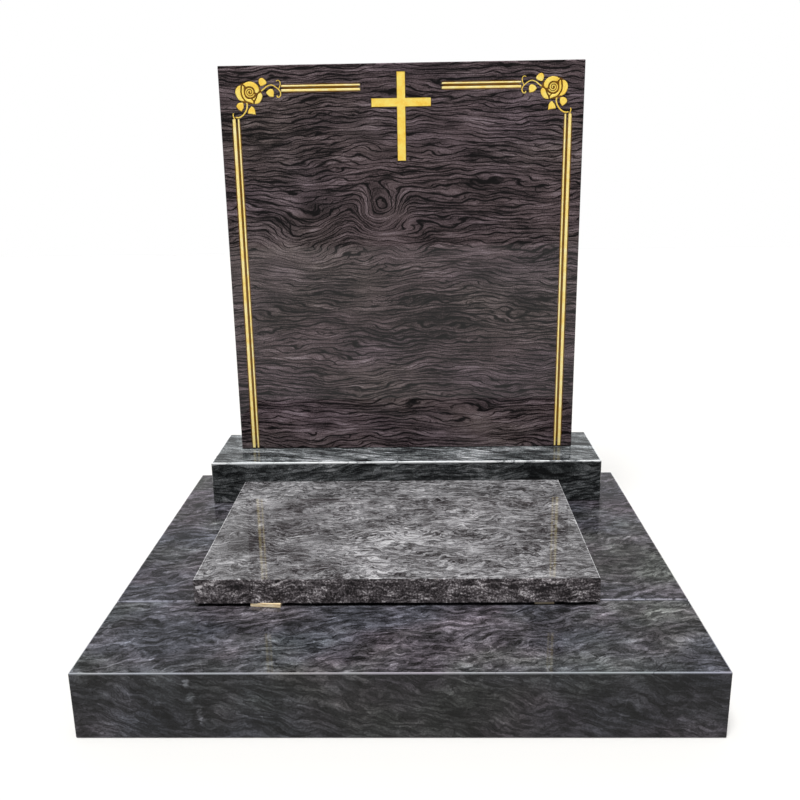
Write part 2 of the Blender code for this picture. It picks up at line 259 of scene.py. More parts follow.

# The base's two slabs: the same granite from darker blocks. The eye sees short flecks that slant down to
# the right, clouds of green, violet and blue in the black, and tops painted lighter as painted light from
# above.
BASE_GRANITE = dict(
    stops=[(0.0, "#090909"), (0.25, "#161516"), (0.48, "#282629"), (0.66, "#3A373B"), (0.84, "#4F4C51"),
           (1.0, "#6A676D")],
    turn=(math.radians(38), math.radians(12), 0), stretch=0.6, swirl=(60, 42), ripple=(11, 8),
    lines=((6.0, 0.14, 0.7),), line_dark=0.30, wander=4.0, veins=(5.0, 0.5, 0.03),
    pale_veins=(70, 0.022, 0.14), flecks=(3.0, 0.045, 0.25), fleck_length=(0.17, 0.26), patch_mm=50,
    ground=(0.32, 0.42, 0.26), contrast=0.9,
    tint=(("#3D443A", 120, 0.45), ("#4B4048", 90, 0.35), ("#3B4149", 150, 0.5)), painted_top_light=2.45, specular=0.18)
# The front slab has a short pale vein at the left of its front
FRONT_SLAB_GRANITE = dict(
    BASE_GRANITE, arris=0.8,
    marks=(((-0.289, BASE_FRONT, 0.086), (6, 40, 9), 0.5), ((-0.283, BASE_FRONT, 0.066), (8, 40, 13), 0.5),
           ((-0.272, BASE_FRONT, 0.036), (6, 40, 18), 0.35)))
REAR_SLAB_GRANITE = dict(BASE_GRANITE, arris=0.5, shift=(0.4, 0.3, 0.2))

# The plinth: the same granite, polished. The eye sees long grey streaks in cold black, and a top painted
# lighter as painted light from above.
PLINTH_GRANITE = dict(
    stops=[(0.0, "#0F1011"), (0.25, "#262829"), (0.48, "#434546"), (0.66, "#5E6062"), (0.84, "#808183"),
           (1.0, "#A2A3A4")],
    turn=(math.radians(40), math.radians(-8), 0), stretch=0.35, swirl=(90, 60),
    lines=((7.0, 0.16, 0.8), (4.0, 0.12, 0.4)), veins=(8.0, 0.8, 0.04), flecks=(4.0, 0.06, 0.26),
    contrast=1.25,
    tint=(("#404446", 120, 0.3),), arris=0.7, painted_top_light=2.15, specular=0.10)

# The tablet: a paler slab of the granite, sawn across its bedding and polished. The eye sees a curled grey
# and white figure with a pale cloud near the front.
TABLET_GRANITE = dict(
    stops=[(0.0, "#252324"), (0.25, "#454344"), (0.48, "#6A696B"), (0.66, "#878688"), (0.84, "#A5A4A6"),
           (1.0, "#BDBCBE")],
    turn=(math.radians(90), 0, 0), shift=(0.13, 0.07, 0.02), stretch=0.75, swirl=(60, 70), ripple=(16, 14),
    eyes=(((-0.17, 0.08, 0.13), 90, 60),), lines=((7.0, 0.15, 0.8), (4.5, 0.10, 0.4)), wander=5.0,
    veins=(6.0, 0.6, 0.03), pale_veins=(60, 0.022, 0.20), flecks=(2.8, 0.05, 0.30), fleck_length=(0.30, 0.34),
    patch_mm=60, ground=(0.36, 0.36, 0.28), contrast=0.95,
    marks=(((0.0, -0.06, TABLET_HIGH.z), (90, 40, 40), 0.22),
           ((-0.22, -0.06, TABLET_HIGH.z), (100, 170, 40), -0.14)),
    arris=0.35, specular=0.4)

# The tablet's front edge: the same granite as the saw left it, without polish. The eye sees dull speckled
# stone, its grain drawn at 3.2 mm to show, and a pale spot at the left corner.
SAWN_GRANITE = dict(
    stops=[(0.0, "#141213"), (0.25, "#2E292B"), (0.48, "#4E494B"), (0.66, "#6E686B"), (0.84, "#989395"),
           (1.0, "#CFCACC")],
    stretch=0.8, swirl=(50, 40), ripple=(10, 8), lines=((9.0, 0.16, 0.4),), veins=(6.0, 0.6, 0.04),
    flecks=(2.6, 0.05, 0.24), patch_mm=24, grain_mm=3.2, ground=(0.30, 0.28, 0.42), contrast=1.45,
    marks=(((-0.312, TABLET_LOW.y, 0.137), (5, 20, 5), 0.9),), roughness=0.6, bump=0.6)

# Gold paint: a full yellow in the cross and the roses, and a paler coat in the frame lines
GOLD_STOPS = [(0.28, "#E4A82B"), (0.42, "#FED24D"), (0.58, "#FFE672"), (0.74, "#FFF5B0")]
# The slope colours are painted shade for the gold on slopes that turn from the front
GOLD_SLOPE_SHADE = "#B87413"
PALE_GOLD_STOPS = [(0.28, "#F2C052"), (0.42, "#FFE07C"), (0.58, "#FFF0A8"), (0.74, "#FFFAD8")]
PALE_GOLD_SLOPE_SHADE = "#8E5606"
# The grit of the blasted floor is about 0.3 mm and is drawn at 1.3 mm, or it wouldn't show
GRIT_MM = 1.3
BRUSH_MM = 14
BRUSH_SHARE = 0.45
# Painted shade on the slopes: how squarely a slope faces the front where the shade is deepest, and where it is
# gone
SLOPE_SHADE_REACH = (0.45, 0.97)
SLOPE_SHADE_SHARE = 0.85

# Sawn spruce: pale cream early wood with darker late wood about every 2 mm, drawn out along the slip
SPRUCE_STOPS = [(0.32, "#C9A978"), (0.48, "#E6D2AC"), (0.70, "#F3E7CC")]
RING_MM = 2.0
GRAIN_RUN = (0.08, 1.0, 1.0)


def linear(colour):
    """An sRGB hex colour as linear red, green, blue and alpha."""
    parts = [int(colour[i:i + 2], 16) / 255 for i in (1, 3, 5)]
    return (*(p / 12.92 if p <= 0.04045 else ((p + 0.055) / 1.055) ** 2.4 for p in parts), 1.0)


def add(tree, kind, settings=None, inputs=None, stops=None):
    """Adds one node with its settings, its inputs' values or links, and a colour ramp's stops. A node that
    is given as an input is linked from its first output in use."""
    node = tree.nodes.new(kind)
    for name, value in (settings or {}).items():
        setattr(node, name, value)
    for name, value in (inputs or {}).items():
        socket = node.inputs[name]
        if isinstance(name, str) and not socket.enabled:
            socket = next(other for other in node.inputs if other.name == name and other.enabled)
        if isinstance(value, bpy.types.Node):
            value = output_of(value)
        if isinstance(value, bpy.types.NodeSocket):
            tree.links.new(value, socket)
        else:
            socket.default_value = value
    if stops:
        ramp = node.color_ramp
        while len(ramp.elements) < len(stops):
            ramp.elements.new(1.0)
        for element, (place, colour) in zip(ramp.elements, stops):
            element.position = place
            element.color = linear(colour)
    return node


def output_of(node):
    """A node's first output in use."""
    return next(output for output in node.outputs if output.enabled)


def new_material(name):
    material = bpy.data.materials.new(name)
    material.use_nodes = True
    return material, material.node_tree, material.node_tree.nodes["Principled BSDF"]


def per_metre(size_mm):
    """The scale at which a noise's features are about this size."""
    return 1.0 / (size_mm * MM)


def push_about(tree, vector, size, amount, seed):
    """How far swirls of this size push a place, by up to half this amount. Both are in mm."""
    moved = add(tree, "ShaderNodeVectorMath", {"operation": "ADD"},
                {0: vector, 1: (seed, seed * 0.7, seed * 0.4)})
    swirl = add(tree, "ShaderNodeTexNoise", None,
                {"Vector": moved, "Scale": per_metre(size), "Detail": 2.0, "Roughness": 0.5})
    centred = add(tree, "ShaderNodeVectorMath", {"operation": "SUBTRACT"},
                  {0: swirl.outputs["Color"], 1: (0.5, 0.5, 0.5)})
    return add(tree, "ShaderNodeVectorMath", {"operation": "SCALE"}, {0: centred, "Scale": amount * MM})


def shares_from(tree, place, middle, reach):
    """The way from a middle, each way as a share of the reach in metres."""
    apart = add(tree, "ShaderNodeVectorMath", {"operation": "SUBTRACT"}, {0: place, 1: middle})
    return add(tree, "ShaderNodeVectorMath", {"operation": "DIVIDE"}, {0: apart, 1: reach})


def line_through(tree, pattern, reach, power):
    """A line where a noise passes through its middle value."""
    above = add(tree, "ShaderNodeMath", {"operation": "SUBTRACT"}, {0: pattern, 1: 0.5})
    off = add(tree, "ShaderNodeMath", {"operation": "ABSOLUTE"}, {0: above})
    return add(tree, "ShaderNodeMapRange", {"interpolation_type": "SMOOTHSTEP"},
               {"Value": off, "From Min": 0.0, "From Max": reach, "To Min": power, "To Max": 0.0})


def bedding_height(tree, turned, bent, lean, eyes):
    """The height in the block's bedding, which all lines follow. Each eye lifts it, so that the lines close
    in rings over the eye's middle."""
    depth = add(tree, "ShaderNodeSeparateXYZ", None, {0: turned})
    level = add(tree, "ShaderNodeSeparateXYZ", None, {0: bent})
    height = add(tree, "ShaderNodeMath", {"operation": "MULTIPLY_ADD"},
                 {0: depth.outputs["Y"], 1: lean, 2: level.outputs["Z"]})
    for middle, reach, lift in eyes:
        away = add(tree, "ShaderNodeVectorMath", {"operation": "DISTANCE"}, {0: bent, 1: middle})
        rise = add(tree, "ShaderNodeMapRange", {"interpolation_type": "SMOOTHERSTEP"},
                   {"Value": away, "From Min": 0.0, "From Max": reach * MM, "To Min": lift * MM,
                    "To Max": 0.0})
        height = add(tree, "ShaderNodeMath", {"operation": "ADD"}, {0: height, 1: rise})
    return height


def thin_lines(tree, drawn_out, height, fade, lines, wander, line_gaps):
    """Dark lines where the height, counted in spacings, comes near a whole number. They stray, swell and
    fade out on their way."""
    drawn = None
    for spacing, width, power in lines:
        stray = add(tree, "ShaderNodeTexNoise", None,
                    {"Vector": drawn_out, "Scale": per_metre(spacing * STRAY_SPACINGS), "Detail": 1.0,
                     "Roughness": 0.5})
        strayed = add(tree, "ShaderNodeMath", {"operation": "MULTIPLY_ADD"},
                      {0: stray, 1: spacing * MM * wander, 2: height})
        count = add(tree, "ShaderNodeMath", {"operation": "DIVIDE"}, {0: strayed, 1: spacing * MM})
        off = add(tree, "ShaderNodeMath", {"operation": "PINGPONG"}, {0: count, 1: 0.5})
        reach = add(tree, "ShaderNodeMapRange", None,
                    {"Value": fade, "From Min": line_gaps[0], "From Max": line_gaps[1],
                     "To Min": width * THINNEST, "To Max": width * THICKEST})
        line = add(tree, "ShaderNodeMapRange", {"interpolation_type": "SMOOTHSTEP"},
                   {"Value": off, "From Min": 0.0, "From Max": reach, "To Min": power, "To Max": 0.0})
        if drawn is None:
            drawn = line
        else:
            drawn = add(tree, "ShaderNodeMath", {"operation": "MAXIMUM"}, {0: drawn, 1: line})
    return drawn


def figured_granite(name, stops, lines, veins, flecks, contrast, turn=(0, 0, 0), shift=(0, 0, 0), lean=0.0,
                    stretch=0.45, eyes=(), swirl=(110, 70), ripple=(26, 14), wander=2.6,
                    line_gaps=(0.35, 0.68), line_dark=0.45, pale_veins=(60, 0.03, 0.0),
                    fleck_length=(0.25, 0.20), patch_mm=90, grain_mm=2.2, ground=(0.30, 0.40, 0.30), marks=(),
                    arris=0.0, tint=(), painted_top_light=1.0, painted=(), roughness=0.025, specular=0.25, bump=0.0):
    """Figured granite: thin dark wavy lines that run, fork, fade and close round eyes through a mottled
    ground. The pattern is solid, so it goes on round the edges, as in a sawn block.

    How the block lay: turn and shift, how its bedding leans with depth, and how far stretch draws it out.
    swirl and ripple: size and push in mm. eyes: middle, reach and lift in mm.
    lines: spacing in mm, width in spacings, strength; line_gaps: the noise values between which they fade in.
    veins: width in mm, strength, reach; pale_veins: distance in mm, reach, strength.
    flecks: size in mm, softness, strength. ground: shares of patches, streaks and grain.
    marks: middle, reach each way in mm, how much lighter. tint: colour, size in mm, share.
    painted: where brown painted shade goes round the gilding; middle, reach each way in metres, square or
    oval."""
    material, tree, shader = new_material(name)
    place = add(tree, "ShaderNodeTexCoord").outputs["Object"]
    turned = add(tree, "ShaderNodeMapping", {"vector_type": "TEXTURE"},
                 {"Vector": place, "Location": shift, "Rotation": turn})
    drawn_out = add(tree, "ShaderNodeVectorMath", {"operation": "MULTIPLY"},
                    {0: turned, 1: (stretch, stretch, 1.0)})
    bent = turned
    for number, (size, amount) in enumerate((swirl, ripple)):
        push = push_about(tree, drawn_out, size, amount, PUSH_SEED * number)
        bent = add(tree, "ShaderNodeVectorMath", {"operation": "ADD"}, {0: bent, 1: push})
    height = bedding_height(tree, turned, bent, lean, eyes)
    fade = add(tree, "ShaderNodeTexNoise", None,
               {"Vector": drawn_out, "Scale": per_metre(patch_mm * FADE_SHARE), "Detail": 2.5,
                "Roughness": 0.6})
    cut = thin_lines(tree, drawn_out, height, fade, lines, wander, line_gaps)

    # Bolder dark veins along the bedding
    vein_mm, vein_power, vein_reach = veins
    along = add(tree, "ShaderNodeVectorMath", {"operation": "DOT_PRODUCT"}, {0: turned, 1: STREAK_RUN})
    streak_place = add(tree, "ShaderNodeCombineXYZ", None, {"X": along, "Z": height})
    vein_pattern = add(tree, "ShaderNodeTexNoise", None,
                       {"Vector": streak_place, "Scale": per_metre(vein_mm * 2), "Detail": 1.5,
                        "Roughness": 0.5})
    vein = line_through(tree, vein_pattern, vein_reach, vein_power)
    vein_fade = add(tree, "ShaderNodeMapRange", None,
                    {"Value": fade, "From Min": VEIN_FADE[0], "From Max": VEIN_FADE[1], "To Min": FAINT_VEIN})
    veined = add(tree, "ShaderNodeMath", {"operation": "MULTIPLY"}, {0: vein, 1: vein_fade})
    cut = add(tree, "ShaderNodeMath", {"operation": "MAXIMUM"}, {0: cut, 1: veined})

    # Ground: patches, streaks along the bedding, and fine grain
    patches = add(tree, "ShaderNodeTexNoise", None,
                  {"Vector": drawn_out, "Scale": per_metre(patch_mm), "Detail": 5.0, "Roughness": 0.6})
    streaks = add(tree, "ShaderNodeTexNoise", None,
                  {"Vector": streak_place, "Scale": per_metre(vein_mm * STREAK_SHARE), "Detail": 5.0,
                   "Roughness": 0.65})
    grains = add(tree, "ShaderNodeTexNoise", None,
                 {"Vector": place, "Scale": per_metre(grain_mm), "Detail": 2.0, "Roughness": 0.7})
    tone = 0.0
    for pattern, share in zip((patches, streaks, grains), ground):
        tone = add(tree, "ShaderNodeMath", {"operation": "MULTIPLY_ADD"}, {0: pattern, 1: share, 2: tone})
    reach = TONE_REACH / contrast
    tone = add(tree, "ShaderNodeMapRange", {"clamp": False},
               {"Value": tone, "From Min": 0.5 - reach, "From Max": 0.5 + reach})
    tone = add(tree, "ShaderNodeMath", {"operation": "MULTIPLY_ADD"}, {0: cut, 1: -line_dark, 2: tone})

    # Flecks: short bands of light and dark stone with clear edges, along the bedding
    fleck_mm, softness, fleck_power = flecks
    along = add(tree, "ShaderNodeVectorMath", {"operation": "DOT_PRODUCT"},
                {0: bent, 1: (*fleck_length, 0.0)})
    fleck_place = add(tree, "ShaderNodeCombineXYZ", None, {"X": along, "Z": height})
    fleck_pattern = add(tree, "ShaderNodeTexNoise", None,
                        {"Vector": fleck_place, "Scale": per_metre(fleck_mm * 2), "Detail": 3.0,
                         "Roughness": 0.55})
    fleck = add(tree, "ShaderNodeMapRange", {"interpolation_type": "SMOOTHSTEP"},
                {"Value": fleck_pattern, "From Min": 0.5 - softness, "From Max": 0.5 + softness,
                 "To Min": -fleck_power / 2, "To Max": fleck_power / 2})
    tone = add(tree, "ShaderNodeMath", {"operation": "ADD"}, {0: tone, 1: fleck})

    # Pale veins, thin and broken, that cross the figure
    vein_gap, vein_reach, vein_power = pale_veins
    elsewhere = add(tree, "ShaderNodeVectorMath", {"operation": "ADD"}, {0: bent, 1: PALE_VEIN_PLACE})
    pale_pattern = add(tree, "ShaderNodeTexNoise", None,
                       {"Vector": elsewhere, "Scale": per_metre(vein_gap), "Detail": 1.5, "Roughness": 0.5})
    pale_vein = line_through(tree, pale_pattern, vein_reach, vein_power)
    pale_fade = add(tree, "ShaderNodeMapRange", None,
                    {"Value": fade, "From Min": PALE_VEIN_FADE[0], "From Max": PALE_VEIN_FADE[1]})
    tone = add(tree, "ShaderNodeMath", {"operation": "MULTIPLY_ADD"}, {0: pale_vein, 1: pale_fade, 2: tone})

    # Pale and dark marks, each broken up by the flecks
    crooked = add(tree, "ShaderNodeVectorMath", {"operation": "ADD"}, {0: place, 1: push})
    for middle, reach, lighter in marks:
        shares = shares_from(tree, crooked, middle, tuple(way * MM for way in reach))
        out = add(tree, "ShaderNodeVectorMath", {"operation": "LENGTH"}, {0: shares})
        broken = add(tree, "ShaderNodeMath", {"operation": "MULTIPLY_ADD"},
                     {0: fleck_pattern, 1: MARK_BREAK, 2: out})
        mark = add(tree, "ShaderNodeMapRange", {"interpolation_type": "SMOOTHSTEP"},
                   {"Value": broken, "From Min": MARK_EDGE[0], "From Max": MARK_EDGE[1], "To Min": lighter,
                    "To Max": 0.0})
        tone = add(tree, "ShaderNodeMath", {"operation": "ADD"}, {0: tone, 1: mark})

    # Painted highlight: the arrises that lean up are painted paler, standing in for the light they catch
    facing = add(tree, "ShaderNodeSeparateXYZ", None,
                 {0: add(tree, "ShaderNodeNewGeometry").outputs["Normal"]}).outputs["Z"]
    above = add(tree, "ShaderNodeMath", {"operation": "SUBTRACT"}, {0: facing, 1: ARRIS_HEIGHT})
    off = add(tree, "ShaderNodeMath", {"operation": "ABSOLUTE"}, {0: above})
    painted_arris_highlight = add(tree, "ShaderNodeMapRange", None,
                       {"Value": off, "From Min": ARRIS_REACH[0], "From Max": ARRIS_REACH[1], "To Min": arris,
                        "To Max": 0.0})
    tone = add(tree, "ShaderNodeMath", {"operation": "ADD"}, {0: tone, 1: painted_arris_highlight})

    colour = add(tree, "ShaderNodeValToRGB", None, {"Fac": tone}, stops)
    for number, (hue, size, share) in enumerate(tint):
        moved = add(tree, "ShaderNodeVectorMath", {"operation": "ADD"},
                    {0: drawn_out, 1: (TINT_STEP + number, *TINT_PLACE)})
        cloud = add(tree, "ShaderNodeTexNoise", None,
                    {"Vector": moved, "Scale": per_metre(size), "Detail": 3.0, "Roughness": 0.55})
        amount = add(tree, "ShaderNodeMapRange", None,
                     {"Value": cloud, "From Min": TINT_EDGE[0], "From Max": TINT_EDGE[1], "To Max": share})
        colour = add(tree, "ShaderNodeMix", {"data_type": "RGBA", "blend_type": "COLOR"},
                     {"Factor": amount, "A": colour, "B": linear(hue)})
    # Painted light: the faces that look up are painted lighter, standing in for the light from above
    lift = add(tree, "ShaderNodeMapRange", {"interpolation_type": "SMOOTHSTEP"},
               {"Value": facing, "From Min": TOP_LIGHT_FROM, "From Max": 1.0, "To Min": 1.0, "To Max": painted_top_light})
    colour = add(tree, "ShaderNodeVectorMath", {"operation": "SCALE"}, {0: colour, "Scale": lift})
    # Painted shade round the gilding: brown, for gold paint in the shade of the groove walls and between the
    # cuts
    for middle, reach, square in painted:
        shares = shares_from(tree, place, middle, reach)
        if square:
            sizes = add(tree, "ShaderNodeVectorMath", {"operation": "ABSOLUTE"}, {0: shares})
            ways = add(tree, "ShaderNodeSeparateXYZ", None, {0: sizes}).outputs
            out = add(tree, "ShaderNodeMath", {"operation": "MAXIMUM"}, {0: ways["X"], 1: ways["Y"]})
            out = add(tree, "ShaderNodeMath", {"operation": "MAXIMUM"}, {0: out, 1: ways["Z"]})
        else:
            out = add(tree, "ShaderNodeVectorMath", {"operation": "LENGTH"}, {0: shares})
        paint = add(tree, "ShaderNodeMapRange", {"interpolation_type": "SMOOTHSTEP"},
                    {"Value": out, "From Min": GILT_SHADE_EDGE, "From Max": 1.0,
                     "To Min": GILT_SHADE_SHARE, "To Max": 0.0})
        colour = add(tree, "ShaderNodeMix", {"data_type": "RGBA"},
                     {"Factor": paint, "A": colour, "B": linear(GILT_SHADE_COLOUR)})
    tree.links.new(output_of(colour), shader.inputs["Base Color"])
    # The polish is nearly even: mica takes it a little less well than feldspar
    polish = add(tree, "ShaderNodeMapRange", None,
                 {"Value": grains, "From Min": POLISH_GRAINS[0], "From Max": POLISH_GRAINS[1],
                  "To Min": roughness * POLISH_RANGE[0], "To Max": roughness * POLISH_RANGE[1]})
    tree.links.new(polish.outputs["Result"], shader.inputs["Roughness"])
    shader.inputs["IOR"].default_value = GRANITE_IOR
    shader.inputs["Specular IOR Level"].default_value = specular
    if bump:
        grit = add(tree, "ShaderNodeBump", None, {"Height": grains, "Strength": 0.6, "Distance": bump * MM})
        tree.links.new(grit.outputs["Normal"], shader.inputs["Normal"])
    return material


def painted_gilt_shade_places():
    """Where brown painted shade goes on the headstone, for gold paint in the shade of the groove walls: along
    each pair of lines and between the petals. Each is a middle, the reach each way, and whether it is square
    or oval."""
    margin = GILT_SHADE_MARGIN
    outer = HALF - WIDE_LINE_INSET + WIDE_LINE / 2 + margin
    inner = HALF - THIN_LINE_INSET - THIN_LINE / 2 - margin
    foot, head = HEADSTONE_LOW.z + LINE_FOOT, TOP - SIDE_LINE_START
    near = CROSS_SPAN / 2 + RUN_TO_CROSS
    far = HALF - ROSE_SIDE_INSET - RUN_TO_ROSE
    upper = TOP - UPPER_RUN_INSET + UPPER_RUN / 2 + margin
    lower = TOP - LOWER_RUN_INSET - LOWER_RUN / 2 - margin
    heart_out = HALF - ROSE_SIDE_INSET + OVAL_SIDE_SHARE * ROSE_RADIUS
    heart_up = TOP - ROSE_TOP_INSET - OVAL_DROP_SHARE * ROSE_RADIUS
    oval = (OVAL_WIDTH_SHARE * ROSE_RADIUS, GILT_SHADE_DEPTH, OVAL_HEIGHT_SHARE * ROSE_RADIUS)
    places = []
    for side in (-1, 1):
        places.append(((MIDDLE + side * (outer + inner) / 2, FACE, (foot + head) / 2),
                       ((outer - inner) / 2, GILT_SHADE_DEPTH, (head - foot) / 2), True))
        places.append(((MIDDLE + side * (near + far) / 2, FACE, (upper + lower) / 2),
                       ((far - near) / 2, GILT_SHADE_DEPTH, (upper - lower) / 2), True))
        places.append(((MIDDLE + side * heart_out, FACE, heart_up), oval, False))
    return places


def gilding_material(name, stops, edge):
    """Gold paint brushed into a blasted engraving. The blasted floor gives it a fine grit that catches the
    light, and the slopes that turn from the front are painted darker towards the edge colour, as painted
    shade."""
    material, tree, shader = new_material(name)
    place = add(tree, "ShaderNodeTexCoord").outputs["Object"]
    grit = add(tree, "ShaderNodeTexNoise", None,
               {"Vector": place, "Scale": per_metre(GRIT_MM), "Detail": 4.0, "Roughness": 0.7})
    brushed = add(tree, "ShaderNodeTexNoise", None,
                  {"Vector": place, "Scale": per_metre(BRUSH_MM), "Detail": 2.0, "Roughness": 0.5})
    tone = add(tree, "ShaderNodeMix", {"data_type": "FLOAT"}, {"Factor": BRUSH_SHARE, "A": grit, "B": brushed})
    gold = add(tree, "ShaderNodeValToRGB", None, {"Fac": tone}, stops)
    # Painted shade: slopes that turn from the front are painted towards the dark edge colour
    forward = add(tree, "ShaderNodeVectorMath", {"operation": "DOT_PRODUCT"},
                  {0: add(tree, "ShaderNodeNewGeometry").outputs["Normal"], 1: (0.0, -1.0, 0.0)})
    slope = add(tree, "ShaderNodeMapRange", {"interpolation_type": "SMOOTHSTEP"},
                {"Value": forward, "From Min": SLOPE_SHADE_REACH[0], "From Max": SLOPE_SHADE_REACH[1],
                 "To Min": SLOPE_SHADE_SHARE, "To Max": 0.0})
    slope_shaded_gold = add(tree, "ShaderNodeMix", {"data_type": "RGBA"},
                   {"Factor": slope, "A": gold, "B": linear(edge)})
    tree.links.new(output_of(slope_shaded_gold), shader.inputs["Base Color"])
    bump = add(tree, "ShaderNodeBump", None, {"Height": grit, "Strength": 0.35, "Distance": 0.4 * MM})
    tree.links.new(bump.outputs["Normal"], shader.inputs["Normal"])
    shader.inputs["Metallic"].default_value = 0.10
    shader.inputs["Roughness"].default_value = 0.42
    return material


def spruce_material():
    """Sawn spruce: pale cream, with a straight grain along the slip and a rough sawn face without gloss."""
    material, tree, shader = new_material("sawn_spruce")
    place = add(tree, "ShaderNodeTexCoord").outputs["Object"]
    fibre = add(tree, "ShaderNodeMapping", {"vector_type": "POINT"}, {"Vector": place, "Scale": GRAIN_RUN})
    rings = add(tree, "ShaderNodeTexNoise", None,
                {"Vector": fibre, "Scale": per_metre(RING_MM), "Detail": 3.0, "Roughness": 0.55})
    colour = add(tree, "ShaderNodeValToRGB", None, {"Fac": rings}, SPRUCE_STOPS)
    tree.links.new(colour.outputs["Color"], shader.inputs["Base Color"])
    fuzz = add(tree, "ShaderNodeBump", None, {"Height": rings, "Strength": 0.4, "Distance": 0.3 * MM})
    tree.links.new(fuzz.outputs["Normal"], shader.inputs["Normal"])
    shader.inputs["Roughness"].default_value = 0.75
    return material


def object_from(shape, name, material):
    """The finished mesh as a piece that rides on the memorial."""
    bmesh.ops.recalc_face_normals(shape, faces=shape.faces)
    mesh = bpy.data.meshes.new(name)
    shape.to_mesh(mesh)
    shape.free()
    mesh.materials.append(material)
    piece = bpy.data.objects.new(name, mesh)
    bpy.context.scene.collection.objects.link(piece)
    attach(piece, "root")
    return piece


def on_face(x, z, depth):
    """A point on the headstone's face, or this far inside it."""
    return Vector((x, FACE + depth, z))


def cushion_in(shape, outline, floor, steps):
    """A raised, gilded field inside an engraved pocket: its outline low on the pocket's floor, then each
    step's inset and rise towards the middle."""
    ring = [shape.verts.new(on_face(x, z, floor)) for x, z in outline]
    face = shape.faces.new(ring)
    face.normal_update()
    if face.normal.y > 0:
        face.normal_flip()
    rim = list(face.edges)
    for inset, rise in steps:
        bmesh.ops.inset_region(shape, faces=[face], thickness=inset, depth=0.0, use_even_offset=True,
                               use_boundary=True)
        bmesh.ops.translate(shape, verts=list(face.verts), vec=(0, -rise, 0))
    bmesh.ops.edgeloop_fill(shape, edges=rim)


def make_cross(gilding):
    """The gilded cross: a flat granular field with bright sloping edges, in its engraved recess."""
    shape = bmesh.new()
    half = (CROSS_BAR - CROSS_SLOT) / 2
    top = TOP - CROSS_TOP_INSET - CROSS_SLOT / 2
    foot = TOP - CROSS_TOP_INSET - CROSS_HEIGHT + CROSS_SLOT / 2
    arm_middle = TOP - CROSS_TOP_INSET - CROSS_ARM_DROP - CROSS_BAR / 2
    arm = (CROSS_SPAN - CROSS_SLOT) / 2
    upper, lower = arm_middle + half, arm_middle - half
    outline = [(-half, foot), (half, foot), (half, lower), (arm, lower), (arm, upper), (half, upper),
               (half, top), (-half, top), (-half, upper), (-arm, upper), (-arm, lower), (-half, lower)]
    cushion_in(shape, [(MIDDLE + x, z) for x, z in outline], CROSS_DEPTH - FIELD_LIFT, CROSS_STEPS)
    object_from(shape, "gilded_cross", gilding)


def add_line(shape, left, right, bottom, top):
    outline = [(left, bottom), (right, bottom), (right, top), (left, top)]
    cushion_in(shape, outline, LINE_DEPTH - FIELD_LIFT, LINE_STEPS)


def make_frame_lines(gilding):
    """The double frame lines: a wide and a thin one down each side, and two short runs towards the cross."""
    shape = bmesh.new()
    foot = HEADSTONE_LOW.z + LINE_FOOT + LINE_SLOT / 2
    head = TOP - SIDE_LINE_START - LINE_SLOT / 2
    near = CROSS_SPAN / 2 + RUN_TO_CROSS + LINE_SLOT / 2
    far = HALF - ROSE_SIDE_INSET - RUN_TO_ROSE - LINE_SLOT / 2
    for side in (-1, 1):
        for width, inset in ((WIDE_LINE, WIDE_LINE_INSET), (THIN_LINE, THIN_LINE_INSET)):
            middle = MIDDLE + side * (HALF - inset)
            half = (width - LINE_SLOT) / 2
            add_line(shape, middle - half, middle + half, foot, head)
        ends = sorted((MIDDLE + side * near, MIDDLE + side * far))
        for width, inset in ((UPPER_RUN, UPPER_RUN_INSET), (LOWER_RUN, LOWER_RUN_INSET)):
            middle = TOP - inset
            half = (width - LINE_SLOT) / 2
            add_line(shape, *ends, middle - half, middle + half)
    object_from(shape, "gilded_frame_lines", gilding)


def smooth_outline(points):
    """A closed outline through the points, smooth but at those marked sharp."""
    curve = bpy.data.curves.new("outline", "CURVE")
    curve.resolution_u = STEPS_PER_SPAN
    spline = curve.splines.new("BEZIER")
    spline.bezier_points.add(len(points) - 1)
    spline.use_cyclic_u = True
    for knot, (x, z, *sharp) in zip(spline.bezier_points, points):
        knot.co = (x, z, 0.0)
        kind = "VECTOR" if sharp else "AUTO"
        knot.handle_left_type = kind
        knot.handle_right_type = kind
    holder = bpy.data.objects.new("outline", curve)
    bpy.context.scene.collection.objects.link(holder)
    bpy.context.view_layer.update()
    mesh = holder.to_mesh()
    outline = [(v.co.x, v.co.y) for v in mesh.vertices]
    holder.to_mesh_clear()
    bpy.data.objects.remove(holder)
    bpy.data.curves.remove(curve)
    return outline


def edges_of(outline):
    return zip(outline, outline[1:] + outline[:1])


def distance_to_edge(point, start, end):
    foot, share = intersect_point_line(point, start, end)
    if 0 <= share <= 1:
        return (point - foot).length
    return min((point - start).length, (point - end).length)


def nearest_edge(point, outline):
    """How far a point is from the outline."""
    return min(distance_to_edge(point, start, end) for start, end in edges_of(outline))


def inside(point, outline):
    """Whether a point is inside the outline: a ray from it crosses an odd number of edges."""
    within = False
    for start, end in edges_of(outline):
        if (start.y > point.y) != (end.y > point.y):
            if point.x < (end.x - start.x) * (point.y - start.y) / (end.y - start.y) + start.x:
                within = not within
    return within


